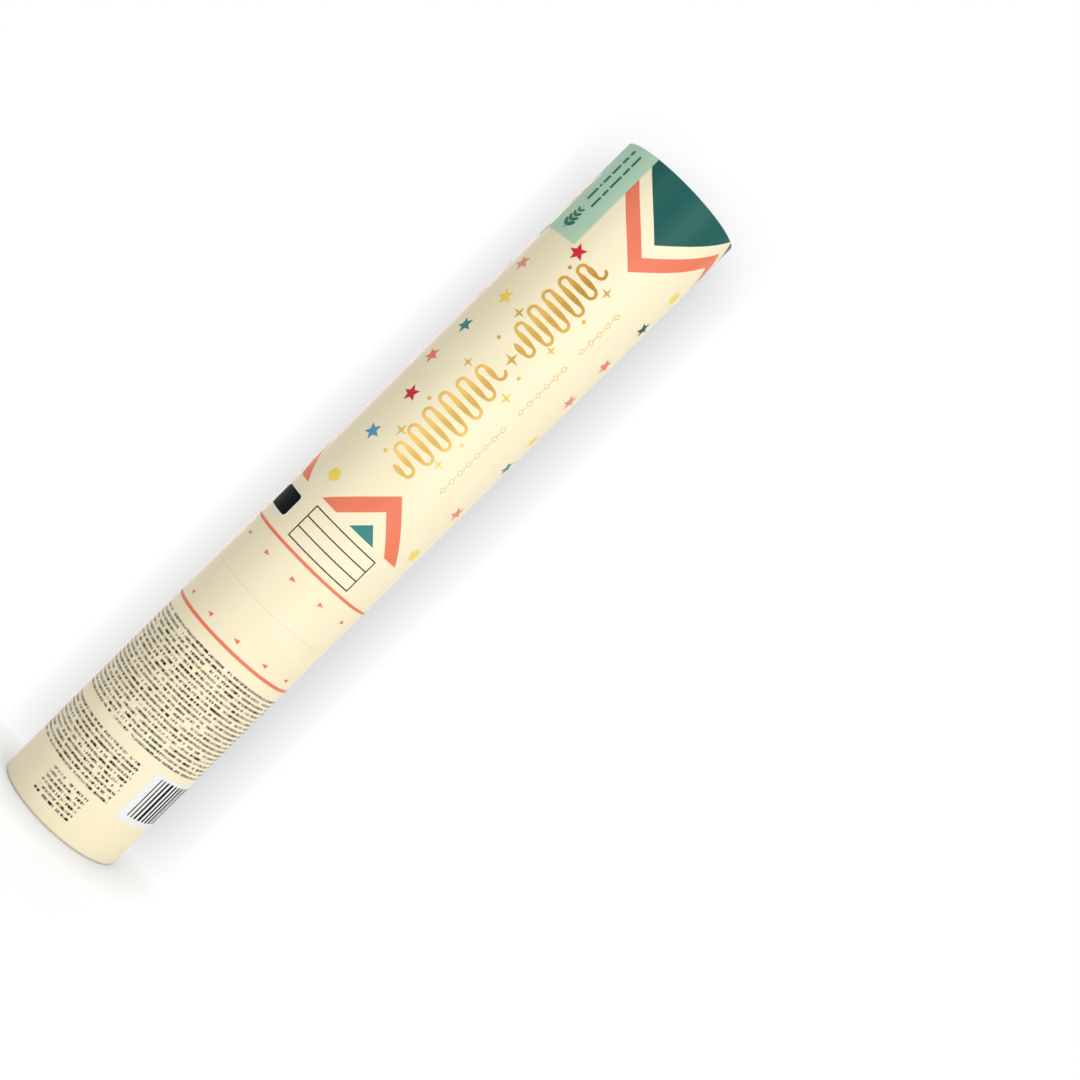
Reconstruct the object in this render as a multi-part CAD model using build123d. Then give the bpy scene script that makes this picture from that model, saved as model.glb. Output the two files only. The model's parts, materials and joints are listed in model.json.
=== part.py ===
from build123d import *
import math
import os

# Hand-held confetti popper. It stands on its base, +Z runs along the tube to the mouth,
# and the origin is the centre of the base. Lengths are in millimetres, angles in degrees.

# Tube, its paper wrap and the twist seam
body_length = 300.0
body_diameter = 50.0
wrap_thickness = 0.3
card_wall = 1.8
seam_height = 102.5
seam_gap = 0.25
base_edge_radius = 1.2
hem_lift = 0.1

# Clearances
paste_gap = 0.05
run_gap = 0.1
slide_gap = 0.3
face_gap = 0.1
key_gap = 0.2
cut_overrun = 1.0

# Sticker at the mouth, placed by its angles round the tube from +X
sticker_thickness = 0.15
sticker_length = 40.0
sticker_setback = 0.4
sticker_start_angle = -161.0
sticker_sweep_angle = 42.5

# Base plug
plug_floor = 3.0
plug_depth = 12.0
plug_wall = 2.0
plug_lead_in = 0.8

# Cam ring with two rising ramps
twist_angle = 90.0
bottle_lift = 6.0
ramp_count = 2
cam_floor = 3.0
cam_width = 8.0
cam_fit_gap = 0.2
ramp_inset = 0.4
ramp_low_height = 1.2
ramp_steps = 16
nose_angle = 12.0
ramp_end_margin = 1.5

# Cradle under the air bottle
cradle_floor = 2.5
cradle_wall = 2.0
cradle_height = 16.0
cradle_side_gap = 3.8
cradle_clearance = 0.5

# Air bottle, as wide as its cradle and as long as the room under the spring
bottle_wall = 1.0
bottle_foot_radius = 3.0
shoulder_height = 9.0
shoulder_radius = 5.0
shoulder_ledge = 3.0
neck_diameter = 16.0
neck_length = 17.0
neck_wall = 1.6

# Valve in the bottle's neck
cup_wall = 0.8
cup_floor = 1.0
cup_skirt = 3.0
cup_floor_clearance = 0.5
seat_hole_diameter = 4.8
seat_gasket_width = 3.0
seat_gasket_thickness = 1.5
neck_seal_height = 2.0
poppet_head_diameter = 9.2
poppet_head_thickness = 2.5
poppet_stem_diameter = 3.0

# Hollow firing pin
pin_diameter = 6.8
pin_bore_diameter = 3.6
pin_reach = 6.0
pin_end_wall = 1.5
pin_port_diameter = 2.4
pin_port_rise = 0.4
pin_flange_diameter = 11.0
pin_flange_thickness = 1.5

# Key plate on the bottle's shoulder
key_plate_thickness = 4.0
key_width = 5.0
key_count = 2
key_depth = 2.3

# Twist collar, glued in the barrel and turning in the grip
collar_overhang = 1.2
collar_rise = 18.0
collar_wall = 4.85
plate_ledge = 2.3
plate_seat_rise = 2.0
ring_groove_depth = 2.2
ring_groove_drop = 14.0

# Retaining ring
ring_height = 5.0
ring_split_angle = 14.0

# Vent plate
vent_plate_thickness = 3.0
vent_count = 6
vent_diameter = 5.0

# Safety spring round the bottle's neck
spring_wire_diameter = 1.2
spring_length = 28.8
spring_neck_gap = 1.55
spring_turns = 6

# Charge, with the confetti in groups of colours from the bottom up
wad_thickness = 6.0
card_disc_thickness = 1.2
confetti_groups = [
    ["red", "yellow", "sky"],
    ["orange", "green", "pink"],
    ["mint", "peach", "white"],
]
layers_per_group = 3
stacks_per_layer = 3
star_points = 5
star_valley_share = 0.52
star_tip_share = 0.11
charge_gap = 0.2
charge_headroom = 1.0

# Paper seal in the mouth
seal_recess = 3.0
seal_thickness = 0.8
seal_skirt_height = 5.0
seal_skirt_wall = 0.6

# Radii and levels that follow from the sizes above
body_radius = body_diameter / 2
wrap_radius = body_radius - wrap_thickness
tube_radius = wrap_radius - paste_gap
bore_radius = tube_radius - card_wall
seat_radius = bore_radius - paste_gap
run_radius = bore_radius - run_gap
sliding_radius = bore_radius - slide_gap
grip_top = seam_height - seam_gap / 2
barrel_low = seam_height + seam_gap / 2

plug_bore_radius = seat_radius - plug_wall
cam_outer_radius = plug_bore_radius - cam_fit_gap
cam_inner_radius = cam_outer_radius - cam_width
cam_top = plug_floor + cam_floor
ramp_inner_radius = cam_inner_radius + ramp_inset
ramp_outer_radius = cam_outer_radius - ramp_inset
rise_per_degree = bottle_lift / twist_angle
ramp_start_angle = -nose_angle / 2 - ramp_end_margin
ramp_end_angle = twist_angle + nose_angle / 2 + ramp_end_margin
ramp_high = cam_top + ramp_low_height + ramp_end_angle * rise_per_degree

plate_low = seam_height + plate_seat_rise
plate_top = plate_low + vent_plate_thickness
key_plate_top = plate_low - spring_length

cradle_radius = bore_radius - cradle_side_gap
cradle_bore_radius = cradle_radius - cradle_wall
cradle_low = ramp_high + cradle_clearance
bottle_radius = cradle_bore_radius - paste_gap
bottle_low = cradle_low + cradle_floor
neck_low = key_plate_top - key_plate_thickness
neck_top = neck_low + neck_length
shoulder_low = neck_low - shoulder_height
neck_radius = neck_diameter / 2
neck_bore_radius = neck_radius - neck_wall

cup_radius = neck_bore_radius - paste_gap
cup_bore_radius = cup_radius - cup_wall
cup_skirt_inner_radius = neck_radius + paste_gap
cup_skirt_radius = cup_skirt_inner_radius + cup_wall
cup_top = neck_top + cup_wall
pin_low = neck_top - pin_reach
cup_floor_top = pin_low - bottle_lift - cup_floor_clearance
cup_floor_low = cup_floor_top - cup_floor
seat_hole_radius = seat_hole_diameter / 2
gasket_low = cup_floor_low - seat_gasket_thickness
poppet_top = gasket_low - paste_gap
pin_radius = pin_diameter / 2

collar_low = neck_low - collar_overhang
collar_top = seam_height + collar_rise
collar_bore_radius = run_radius - collar_wall
plate_seat_radius = collar_bore_radius + plate_ledge
key_plate_radius = collar_bore_radius - key_gap
key_slot_radius = collar_bore_radius + key_depth
key_slot_top = key_plate_top + bottle_lift + cradle_clearance
groove_radius = run_radius - ring_groove_depth
groove_high = seam_height - ring_groove_drop
groove_low = groove_high - ring_height - 2 * face_gap

wad_low = collar_top + charge_gap
wad_top = wad_low + wad_thickness
disc_top = wad_top + card_disc_thickness
seal_top = body_length - seal_recess
seal_low = seal_top - seal_skirt_height
layer_count = layers_per_group * len(confetti_groups)
layer_height = (seal_low - charge_headroom - disc_top) / layer_count

base_align = (Align.CENTER, Align.CENTER, Align.MIN)


# Basic turned shapes
def disc(radius, low, high):
    return Pos(0, 0, low) * Cylinder(radius, high - low, align=base_align)


def ring(outer_radius, inner_radius, low, high):
    return disc(outer_radius, low, high) - disc(inner_radius, low, high)


def turned(points, turn_angle=360.0):
    profile = Plane.XZ * make_face(Polyline(*points, close=True))
    return revolve(profile, Axis.Z, turn_angle)


def around(count, shape):
    return [Rot(0, 0, 360.0 * place / count) * shape for place in range(count)]


def bar(length, width, low, high):
    sized = Box(length, width, high - low, align=base_align)
    return Pos(0, 0, low) * sized


# Card tubes and printed wraps
def make_barrel_tube():
    return ring(tube_radius, bore_radius, barrel_low, body_length)


def make_grip_tube():
    tube = ring(tube_radius, bore_radius, 0, grip_top)
    outer_edges = tube.edges().filter_by(GeomType.CIRCLE).group_by(Axis.Z)[0]
    return fillet(outer_edges.sort_by(SortBy.RADIUS)[-1], base_edge_radius)


def make_barrel_wrap():
    return ring(body_radius, wrap_radius, barrel_low, body_length)


def make_grip_wrap():
    edge_center = tube_radius - base_edge_radius
    outer_arc = body_radius - edge_center
    inner_arc = wrap_radius - edge_center
    hem_angle = math.asin((base_edge_radius - hem_lift) / outer_arc)

    def on_arc(radius, angle):
        reach = edge_center + radius * math.cos(angle)
        return (reach, base_edge_radius - radius * math.sin(angle))

    outer_hem = on_arc(outer_arc, hem_angle)
    inner_hem = on_arc(inner_arc, hem_angle)
    outline = [
        Line((wrap_radius, grip_top), (body_radius, grip_top)),
        Line((body_radius, grip_top), (body_radius, base_edge_radius)),
        ThreePointArc((body_radius, base_edge_radius), on_arc(outer_arc, hem_angle / 2), outer_hem),
        Line(outer_hem, inner_hem),
        ThreePointArc(inner_hem, on_arc(inner_arc, hem_angle / 2), (wrap_radius, base_edge_radius)),
        Line((wrap_radius, base_edge_radius), (wrap_radius, grip_top)),
    ]
    return revolve(Plane.XZ * make_face(outline), Axis.Z)


def make_mouth_sticker():
    high = body_length - sticker_setback
    low = body_length - sticker_length
    inner = body_radius + paste_gap
    outer = inner + sticker_thickness
    patch = turned([(inner, low), (outer, low), (outer, high), (inner, high)], sticker_sweep_angle)
    return Rot(0, 0, sticker_start_angle) * patch


# Base plug and cam ring, which turn with the grip
def make_base_plug():
    return turned([
        (0, 0),
        (seat_radius, 0),
        (seat_radius, plug_depth - plug_lead_in),
        (seat_radius - plug_lead_in, plug_depth),
        (plug_bore_radius, plug_depth),
        (plug_bore_radius, plug_floor),
        (0, plug_floor),
    ])


def ramp_height(angle):
    return cam_top + ramp_low_height + angle * rise_per_degree


def radial_section(angle, inner_radius, outer_radius, low, high):
    turn = math.radians(angle)
    corners = [(inner_radius, low), (outer_radius, low), (outer_radius, high), (inner_radius, high)]
    points = [(r * math.cos(turn), r * math.sin(turn), z) for r, z in corners]
    return make_face(Polyline(*points, close=True))


def make_cam_ring():
    cam = ring(cam_outer_radius, cam_inner_radius, plug_floor, cam_top)
    sections = []
    for step in range(ramp_steps + 1):
        angle = ramp_start_angle + (ramp_end_angle - ramp_start_angle) * step / ramp_steps
        high = ramp_height(angle)
        sections.append(radial_section(angle, ramp_inner_radius, ramp_outer_radius, plug_floor, high))
    return cam + around(ramp_count, loft(sections, ruled=True))


# Cradle, bottle and valve, which rise together
def make_bottle_cradle():
    cup = disc(cradle_radius, cradle_low, cradle_low + cradle_height)
    cup -= disc(cradle_bore_radius, bottle_low, cradle_low + cradle_height)
    nose_high = cradle_low + cradle_floor / 2
    nose_inner_radius = ramp_inner_radius + ramp_inset
    nose_outer_radius = min(ramp_outer_radius, cradle_radius) - ramp_inset
    sections = []
    for angle in (-nose_angle / 2, 0, nose_angle / 2):
        low = ramp_height(angle) + face_gap
        sections.append(radial_section(angle, nose_inner_radius, nose_outer_radius, low, nose_high))
    return cup + around(ramp_count, loft(sections, ruled=True))


def bottle_form(inset):
    radius = bottle_radius - inset
    low = bottle_low + inset
    ledge_radius = neck_radius + shoulder_ledge - inset
    form = turned([
        (0, low),
        (radius, low),
        (radius, shoulder_low),
        (ledge_radius, neck_low - inset),
        (0, neck_low - inset),
    ])
    rims = form.edges().filter_by(GeomType.CIRCLE).group_by(Axis.Z)
    form = fillet(rims[0], bottle_foot_radius - inset)
    shoulder = form.edges().filter_by(GeomType.CIRCLE).group_by(Axis.Z)[-2]
    return fillet(shoulder, shoulder_radius)


def make_air_bottle():
    outer = bottle_form(0) + disc(neck_radius, shoulder_low, neck_top)
    hollow = bottle_form(bottle_wall) + disc(neck_bore_radius, shoulder_low, neck_top + cut_overrun)
    return outer - hollow


def make_valve_cup():
    return turned([
        (seat_hole_radius, cup_floor_low),
        (cup_radius, cup_floor_low),
        (cup_radius, neck_top),
        (cup_skirt_inner_radius, neck_top),
        (cup_skirt_inner_radius, neck_top - cup_skirt),
        (cup_skirt_radius, neck_top - cup_skirt),
        (cup_skirt_radius, cup_top),
        (cup_bore_radius, cup_top),
        (cup_bore_radius, cup_floor_top),
        (seat_hole_radius, cup_floor_top),
    ])


def make_seat_gasket():
    return ring(seat_hole_radius + seat_gasket_width, seat_hole_radius, gasket_low, cup_floor_low)


def make_neck_seal():
    outer = cup_bore_radius - paste_gap
    return ring(outer, pin_radius + run_gap, cup_top - neck_seal_height, cup_top)


def make_key_plate():
    plate = ring(key_plate_radius, neck_radius + paste_gap, neck_low, key_plate_top)
    key_length = key_slot_radius - key_gap
    key = bar(key_length, key_width, neck_low, key_plate_top)
    bore = disc(neck_radius + paste_gap, neck_low, key_plate_top)
    return plate + around(key_count, Pos(key_length / 2, 0, 0) * key - bore)


# Collar, vent plate, firing pin and poppet, which stay with the barrel
def make_twist_collar():
    collar = disc(run_radius, collar_low, barrel_low) + disc(seat_radius, barrel_low, collar_top)
    collar -= disc(collar_bore_radius, collar_low, plate_low)
    collar -= disc(plate_seat_radius, plate_low, collar_top)
    collar -= ring(bore_radius, groove_radius, groove_low, groove_high)
    slot = bar(key_slot_radius, key_width + 2 * key_gap, collar_low, key_slot_top)
    return collar - around(key_count, Pos(key_slot_radius / 2, 0, 0) * slot)


def make_retaining_ring():
    low = groove_low + face_gap
    high = groove_high - face_gap
    inner = groove_radius + slide_gap
    corners = [(inner, low), (seat_radius, low), (seat_radius, high), (inner, high)]
    return turned(corners, 360.0 - ring_split_angle)


def make_vent_plate():
    plate = ring(plate_seat_radius - paste_gap, pin_radius + paste_gap, plate_low, plate_top)
    vent_ring_radius = (pin_flange_diameter / 2 + collar_bore_radius) / 2
    vent = Pos(vent_ring_radius, 0, 0) * disc(vent_diameter / 2, plate_low, plate_top)
    return plate - around(vent_count, vent)


def make_firing_pin():
    pin = disc(pin_radius, pin_low, plate_top)
    pin += disc(pin_flange_diameter / 2, plate_low - pin_flange_thickness, plate_low)
    pin -= disc(pin_bore_diameter / 2, pin_low + pin_end_wall, plate_top)
    port_height = pin_low + pin_end_wall + pin_port_rise + pin_port_diameter / 2
    port = Rot(90, 0, 0) * Cylinder(pin_port_diameter / 2, pin_diameter + cut_overrun)
    return pin - Pos(0, 0, port_height) * port


def make_valve_poppet():
    head = disc(poppet_head_diameter / 2, poppet_top - poppet_head_thickness, poppet_top)
    return head + disc(poppet_stem_diameter / 2, poppet_top, pin_low)


# Safety spring: a helix laid as pairs of tangent arcs, each pair a quarter turn
def make_safety_spring():
    wire_radius = spring_wire_diameter / 2
    coil_radius = cup_skirt_radius + spring_neck_gap + wire_radius
    low = key_plate_top + wire_radius + paste_gap
    high = plate_low - wire_radius - paste_gap
    climb = (high - low) / (spring_turns * 2 * math.pi)
    print("least gap between spring turns", round(climb * 2 * math.pi - spring_wire_diameter, 2))

    def place(angle):
        return Vector(coil_radius * math.cos(angle), coil_radius * math.sin(angle), low + climb * angle)

    def heading(angle):
        return Vector(-coil_radius * math.sin(angle), coil_radius * math.cos(angle), climb).normalized()

    quarter = math.pi / 2
    arcs = []
    for turn in range(spring_turns * 4):
        start = place(turn * quarter)
        end = place((turn + 1) * quarter)
        start_way = heading(turn * quarter)
        end_way = heading((turn + 1) * quarter)
        reach = end - start
        bend = 2 * (start_way.dot(end_way) - 1)
        pull = -2 * reach.dot(start_way + end_way)
        arm = (-pull - math.sqrt(pull**2 - 4 * bend * reach.dot(reach))) / (2 * bend)
        start_arm = start + start_way * arm
        end_arm = end - end_way * arm
        middle = (start_arm + end_arm) / 2
        arcs.append(Edge.make_tangent_arc(start, start_way, middle))
        arcs.append(Edge.make_tangent_arc(middle, end_arm - start_arm, end))
    section = Plane(origin=place(0), z_dir=heading(0)) * Circle(wire_radius)
    return sweep(section, path=Wire(arcs))


# Charge: wad, card disc and tissue stars in stacks, three to a layer
def make_wad():
    return disc(sliding_radius, wad_low, wad_top)


def make_card_disc():
    return disc(sliding_radius, wad_top, disc_top)


def make_star(thickness):
    reach = bore_radius - slide_gap
    spread = 1 / math.sin(math.pi / stacks_per_layer)
    tip_radius = (reach - charge_gap * spread / 2) / (1 + spread)
    points = []
    for corner in range(2 * star_points):
        radius = tip_radius * (star_valley_share if corner % 2 else 1)
        angle = math.pi * corner / star_points
        points.append((radius * math.cos(angle), radius * math.sin(angle)))
    outline = make_face(Polyline(*points, close=True))
    tips = outline.vertices().sort_by_distance((0, 0, 0))[star_points:]
    outline = fillet(tips, tip_radius * star_tip_share)
    center_radius = (tip_radius + charge_gap / 2) * spread
    return Pos(center_radius, 0, 0) * extrude(outline, thickness)


def make_confetti(group, colour):
    star = make_star(layer_height - charge_gap)
    stacks = []
    for row in range(layers_per_group):
        layer = group * layers_per_group + row
        place = (colour - row) % stacks_per_layer
        angle = 360.0 * (place + layer / 2) / stacks_per_layer
        low = disc_top + layer * layer_height + charge_gap / 2
        stacks.append(Pos(0, 0, low) * Rot(0, 0, angle) * star)
    return Compound(children=stacks)


def make_mouth_seal():
    seal = disc(sliding_radius, seal_low, seal_top)
    return seal - disc(sliding_radius - seal_skirt_wall, seal_low, seal_top - seal_thickness)


nodes = {
    "barrel_tube": make_barrel_tube(),
    "barrel_wrap": make_barrel_wrap(),
    "mouth_sticker": make_mouth_sticker(),
    "twist_collar": make_twist_collar(),
    "vent_plate": make_vent_plate(),
    "firing_pin": make_firing_pin(),
    "valve_poppet": make_valve_poppet(),
    "safety_spring": make_safety_spring(),
    "grip_tube": make_grip_tube(),
    "grip_wrap": make_grip_wrap(),
    "base_plug": make_base_plug(),
    "cam_ring": make_cam_ring(),
    "retaining_ring": make_retaining_ring(),
    "bottle_cradle": make_bottle_cradle(),
    "air_bottle": make_air_bottle(),
    "valve_cup": make_valve_cup(),
    "seat_gasket": make_seat_gasket(),
    "neck_seal": make_neck_seal(),
    "key_plate": make_key_plate(),
    "wad": make_wad(),
    "card_disc": make_card_disc(),
    "mouth_seal": make_mouth_seal(),
}
for group, colours in enumerate(confetti_groups):
    for colour, name in enumerate(colours):
        nodes["confetti_" + name] = make_confetti(group, colour)

os.makedirs("parts", exist_ok=True)
for name, shape in nodes.items():
    export_step(shape, os.path.join("parts", name + ".step"))
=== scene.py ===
import json
import math
import random

import bmesh
import bpy
from mathutils import Matrix, Vector

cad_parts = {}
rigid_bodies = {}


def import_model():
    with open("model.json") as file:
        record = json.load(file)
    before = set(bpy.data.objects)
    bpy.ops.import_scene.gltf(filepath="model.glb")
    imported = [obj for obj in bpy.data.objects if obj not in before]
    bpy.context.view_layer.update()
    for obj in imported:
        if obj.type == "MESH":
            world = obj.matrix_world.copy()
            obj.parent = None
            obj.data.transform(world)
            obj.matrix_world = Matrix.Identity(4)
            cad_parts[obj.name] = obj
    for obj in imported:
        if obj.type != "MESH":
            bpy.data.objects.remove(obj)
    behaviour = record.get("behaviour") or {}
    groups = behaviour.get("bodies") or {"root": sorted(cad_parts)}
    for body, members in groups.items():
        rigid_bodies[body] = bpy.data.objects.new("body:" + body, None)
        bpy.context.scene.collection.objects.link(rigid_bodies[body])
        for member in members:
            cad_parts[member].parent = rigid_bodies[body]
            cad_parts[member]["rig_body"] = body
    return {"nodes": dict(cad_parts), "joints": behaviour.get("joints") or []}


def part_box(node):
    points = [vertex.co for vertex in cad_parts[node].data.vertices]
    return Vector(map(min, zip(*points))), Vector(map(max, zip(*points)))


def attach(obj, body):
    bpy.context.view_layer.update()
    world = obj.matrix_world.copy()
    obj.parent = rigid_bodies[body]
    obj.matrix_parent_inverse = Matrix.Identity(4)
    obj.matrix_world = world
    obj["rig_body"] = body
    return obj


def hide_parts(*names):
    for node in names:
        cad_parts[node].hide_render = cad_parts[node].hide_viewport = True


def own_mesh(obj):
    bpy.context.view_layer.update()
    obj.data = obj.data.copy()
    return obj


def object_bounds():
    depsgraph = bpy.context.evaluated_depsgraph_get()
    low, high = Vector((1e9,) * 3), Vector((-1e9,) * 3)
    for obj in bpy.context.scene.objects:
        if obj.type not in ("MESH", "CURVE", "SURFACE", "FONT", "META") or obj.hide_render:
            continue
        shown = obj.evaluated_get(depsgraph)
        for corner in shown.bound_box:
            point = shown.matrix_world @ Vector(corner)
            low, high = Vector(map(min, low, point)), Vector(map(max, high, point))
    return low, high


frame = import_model()
nodes = frame["nodes"]
cadLow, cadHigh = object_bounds()
scene = bpy.context.scene
metresPerMm = 0.001
print("popper frame loaded with", len(nodes), "pieces")


# A socket that takes sums like a number, and makes any other node
class Thread:
    def __init__(self, tree, socket=None):
        self.tree = tree
        self.socket = socket

    def node(self, kind, settings=None, values=None, out=0):
        made = self.tree.nodes.new("ShaderNode" + kind)
        for name, value in (settings or {}).items():
            setattr(made, name, value)
        for name, value in (values or {}).items():
            if isinstance(value, Thread):
                self.tree.links.new(value.socket, made.inputs[name])
            else:
                made.inputs[name].default_value = value
        return Thread(self.tree, made.outputs[out] if made.outputs else None)

    def other(self, name):
        return Thread(self.tree, self.socket.node.outputs[name])

    def sums(self, operation, first, second=0.0):
        return self.node("Math", {"operation": operation}, {0: first, 1: second})

    def mix(self, mask, under, over):
        return self.node("Mix", {"data_type": "RGBA"}, {0: mask, 6: under, 7: over}, out=2)

    def __add__(self, more):
        return self.sums("ADD", self, more)

    __radd__ = __add__

    def __sub__(self, less):
        return self.sums("SUBTRACT", self, less)

    def __rsub__(self, whole):
        return self.sums("SUBTRACT", whole, self)

    def __mul__(self, times):
        return self.sums("MULTIPLY", self, times)

    __rmul__ = __mul__

    def __truediv__(self, share):
        return self.sums("DIVIDE", self, share)

    def __gt__(self, limit):
        return self.sums("GREATER_THAN", self, limit)

    def __lt__(self, limit):
        return self.sums("LESS_THAN", self, limit)


# Colours are written as a paint chart gives them, 0 to 255
def chart(red, green, blue):
    def linear(value):
        share = value / 255
        return share / 12.92 if share <= 0.04045 else ((share + 0.055) / 1.055) ** 2.4
    return (linear(red), linear(green), linear(blue), 1.0)


def shade(colour, share):
    return (colour[0] * share, colour[1] * share, colour[2] * share, 1.0)


def startFinish(name):
    finish = bpy.data.materials.new(name)
    finish.use_nodes = True
    finish.node_tree.nodes.clear()
    return finish, Thread(finish.node_tree)


def closeFinish(thread, values):
    surface = thread.node("BsdfPrincipled", values=values)
    thread.node("OutputMaterial", values={"Surface": surface})


def objectPlace(thread):
    return thread.node("TexCoord", out="Object")


def speckle(thread, place, scale, detail=2.0, rough=0.5):
    return thread.node("TexNoise", values={"Vector": place, "Scale": scale, "Detail": detail, "Roughness": rough})


def bump(thread, height, strength, depth):
    return thread.node("Bump", values={"Strength": strength, "Distance": depth, "Height": height})


# Finishes of fine grain over soft clouds, with layers as (scale, detail, fray, tint, roughness, relief)
grained = {
    "printedPaper": {
        "layers": [(2600.0, 2.0, 0.5, 0.18, 0.14, 0.7), (60.0, 3.0, 0.5, 0.5, 0.0, 0.3)],
        "strength": 0.05,
        "depth": 0.0002,
        "shine": {"Specular IOR Level": 0.3, "Coat Weight": 0.05, "Coat Roughness": 0.25},
    },
    "ink": {
        "layers": [(2600.0, 2.0, 0.5, 0.25, 0.12, 1.0), (140.0, 3.0, 0.5, 0.6, 0.0, 0.0)],
        "shadow": 0.88,
        "strength": 0.04,
        "depth": 0.0002,
        "shine": {"Specular IOR Level": 0.2, "Coat Weight": 0.06, "Coat Roughness": 0.25},
    },
    "plainPaper": {
        "layers": [(1500.0, 4.0, 0.65, 0.5, 0.15, 1.0), (90.0, 2.0, 0.5, 0.4, 0.0, 0.0)],
        "shadow": 0.86,
        "strength": 0.12,
        "depth": 0.0002,
    },
    "plastic": {
        "layers": [(2200.0, 2.0, 0.5, 0.2, 0.15, 1.0), (35.0, 2.0, 0.5, 0.5, 0.0, 0.0)],
        "shadow": 0.86,
        "strength": 0.10,
        "depth": 0.0002,
    },
    "rubber": {
        "layers": [(1400.0, 3.0, 0.5, 1.0, 0.2, 1.0)],
        "strength": 0.15,
        "depth": 0.0002,
    },
    "felt": {
        "layers": [(900.0, 6.0, 0.75, 0.6, 0.0, 1.0), (120.0, 3.0, 0.5, 0.4, 0.0, 0.5)],
        "strength": 0.6,
        "depth": 0.0006,
        "shine": {"Sheen Weight": 0.3},
    },
}
grained["mattInk"] = {**grained["ink"], "shine": {"Specular IOR Level": 0.04}}


def makeGrained(name, kind, light, dark=None, rough=0.5, cover=None):
    size = grained[kind]
    finish, thread = startFinish(name)
    place = objectPlace(thread)
    sums = {"tint": 0.0, "rough": rough, "relief": 0.0}
    for scale, detail, fray, *shares in size["layers"]:
        noise = speckle(thread, place, scale, detail, fray)
        for use, share in zip(("tint", "rough", "relief"), shares):
            if share:
                sums[use] = noise * share + sums[use]
    colour = thread.mix(sums["tint"], light, dark or shade(light, size["shadow"]))
    if cover:
        colour = cover(thread, place, colour)
    closeFinish(thread, {
        "Base Color": colour,
        "Roughness": sums["rough"],
        "Normal": bump(thread, sums["relief"], size["strength"], size["depth"]),
        **size.get("shine", {}),
    })
    return finish


# Satin cream stock, with rows of small print low on the grip in blocks of (heights, angles)
creamPaper = {"light": chart(255, 245, 213), "dark": chart(250, 234, 192), "rough": 0.42}
smallPrint = {
    "ink": chart(16, 14, 8),
    "tubeRadius": 25.0,
    "rowPitch": 1.85,
    "rowShare": (0.26, 0.76),
    "blocks": [((40.5, 79.6), (-3.2, 3.2)), ((18.3, 36.9), (-2.2, 0.42)), ((5.6, 16.6), (-0.46, 0.22))],
    "wordScale": 0.25,
    "wordStep": 5.37,
    "wordGap": 0.016,
    "strokeScale": (2.7, 0.8),
    "strokeStep": 3.1,
    "strokeLimit": 0.47,
}


def between(value, ends):
    return (value > ends[0]) * (value < ends[1])


def layPrint(thread, place, colour):
    size = smallPrint
    x = thread.node("SeparateXYZ", values={0: place})
    turn = thread.sums("ARCTAN2", x, x.other("Y") * -1.0)
    height = x.other("Z") / metresPerMm
    along = turn * size["tubeRadius"]
    rows = height / size["rowPitch"]
    row = thread.sums("FLOOR", rows)
    wordPlace = thread.node("CombineXYZ", values={0: along * size["wordScale"], 1: row * size["wordStep"]})
    strokePlace = thread.node("CombineXYZ", values={
        0: along * size["strokeScale"][0], 1: rows * size["strokeScale"][1], 2: row * size["strokeStep"]})
    words = thread.sums("ABSOLUTE", speckle(thread, wordPlace, 1.0, 1.0) - 0.5) > size["wordGap"]
    strokes = speckle(thread, strokePlace, 1.0, 1.0) > size["strokeLimit"]
    blocks = sum(between(height, heights) * between(turn, angles) for heights, angles in size["blocks"])
    mask = between(rows - row, size["rowShare"]) * words * strokes * blocks
    return thread.mix(mask, colour, size["ink"])


# Ink and foil on the paper
inkChart = {
    "coral": chart(246, 131, 98),
    "green": chart(10, 90, 83),
    "teal": chart(54, 138, 136),
    "red": chart(214, 44, 54),
    "pink": chart(240, 154, 134),
    "yellow": chart(255, 228, 100),
    "blue": chart(92, 162, 192),
    "black": chart(14, 13, 13),
    "white": chart(250, 250, 248),
    "leaf": chart(26, 112, 92),
}
mattInks = ("black",)
foil = {
    "deep": chart(182, 136, 40),
    "bright": chart(220, 182, 92),
    "pale": chart(222, 200, 138),
    "lowEnd": 160.0,
    "reach": 110.0,
    "start": 1.15,
    "fall": 1.2,
    "swayShare": 0.9,
    "sway": (45.0, 1.0),
    "grain": (900.0, 2.0),
    "metallic": 0.35,
    "rough": 0.30,
    "roughShare": 0.14,
    "relief": (0.05, 0.0002),
}


def makeFoil(name, low, high):
    size = foil
    finish, thread = startFinish(name)
    place = objectPlace(thread)
    z = thread.node("SeparateXYZ", values={0: place}).other("Z")
    run = (z / metresPerMm - size["lowEnd"]) / size["reach"]
    grain = speckle(thread, place, *size["grain"])
    sway = (speckle(thread, place, *size["sway"]) - 0.5) * size["swayShare"]
    blend = thread.node("Clamp", values={0: size["start"] - run * size["fall"] + sway})
    closeFinish(thread, {
        "Base Color": thread.mix(blend, low, high),
        "Metallic": size["metallic"],
        "Roughness": size["rough"] + grain * size["roughShare"],
        "Normal": bump(thread, grain, *size["relief"]),
    })
    return finish


# Wound card: plies show as rings on a cut end, and as a slow spiral on a wall
windCard = {
    "light": chart(206, 190, 160),
    "dark": chart(168, 148, 116),
    "ply": 0.45,
    "plyEdge": 0.82,
    "spiralPitch": 46.0,
    "spiralEdge": 0.985,
    "edgeShare": 0.5,
    "fibre": (1800.0, 5.0, 0.7),
    "fibreTint": 0.55,
    "edgeTint": 0.5,
    "rough": 0.82,
    "roughShare": 0.12,
    "edgeDrop": 0.6,
    "relief": (0.25, 0.0003),
}


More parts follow.
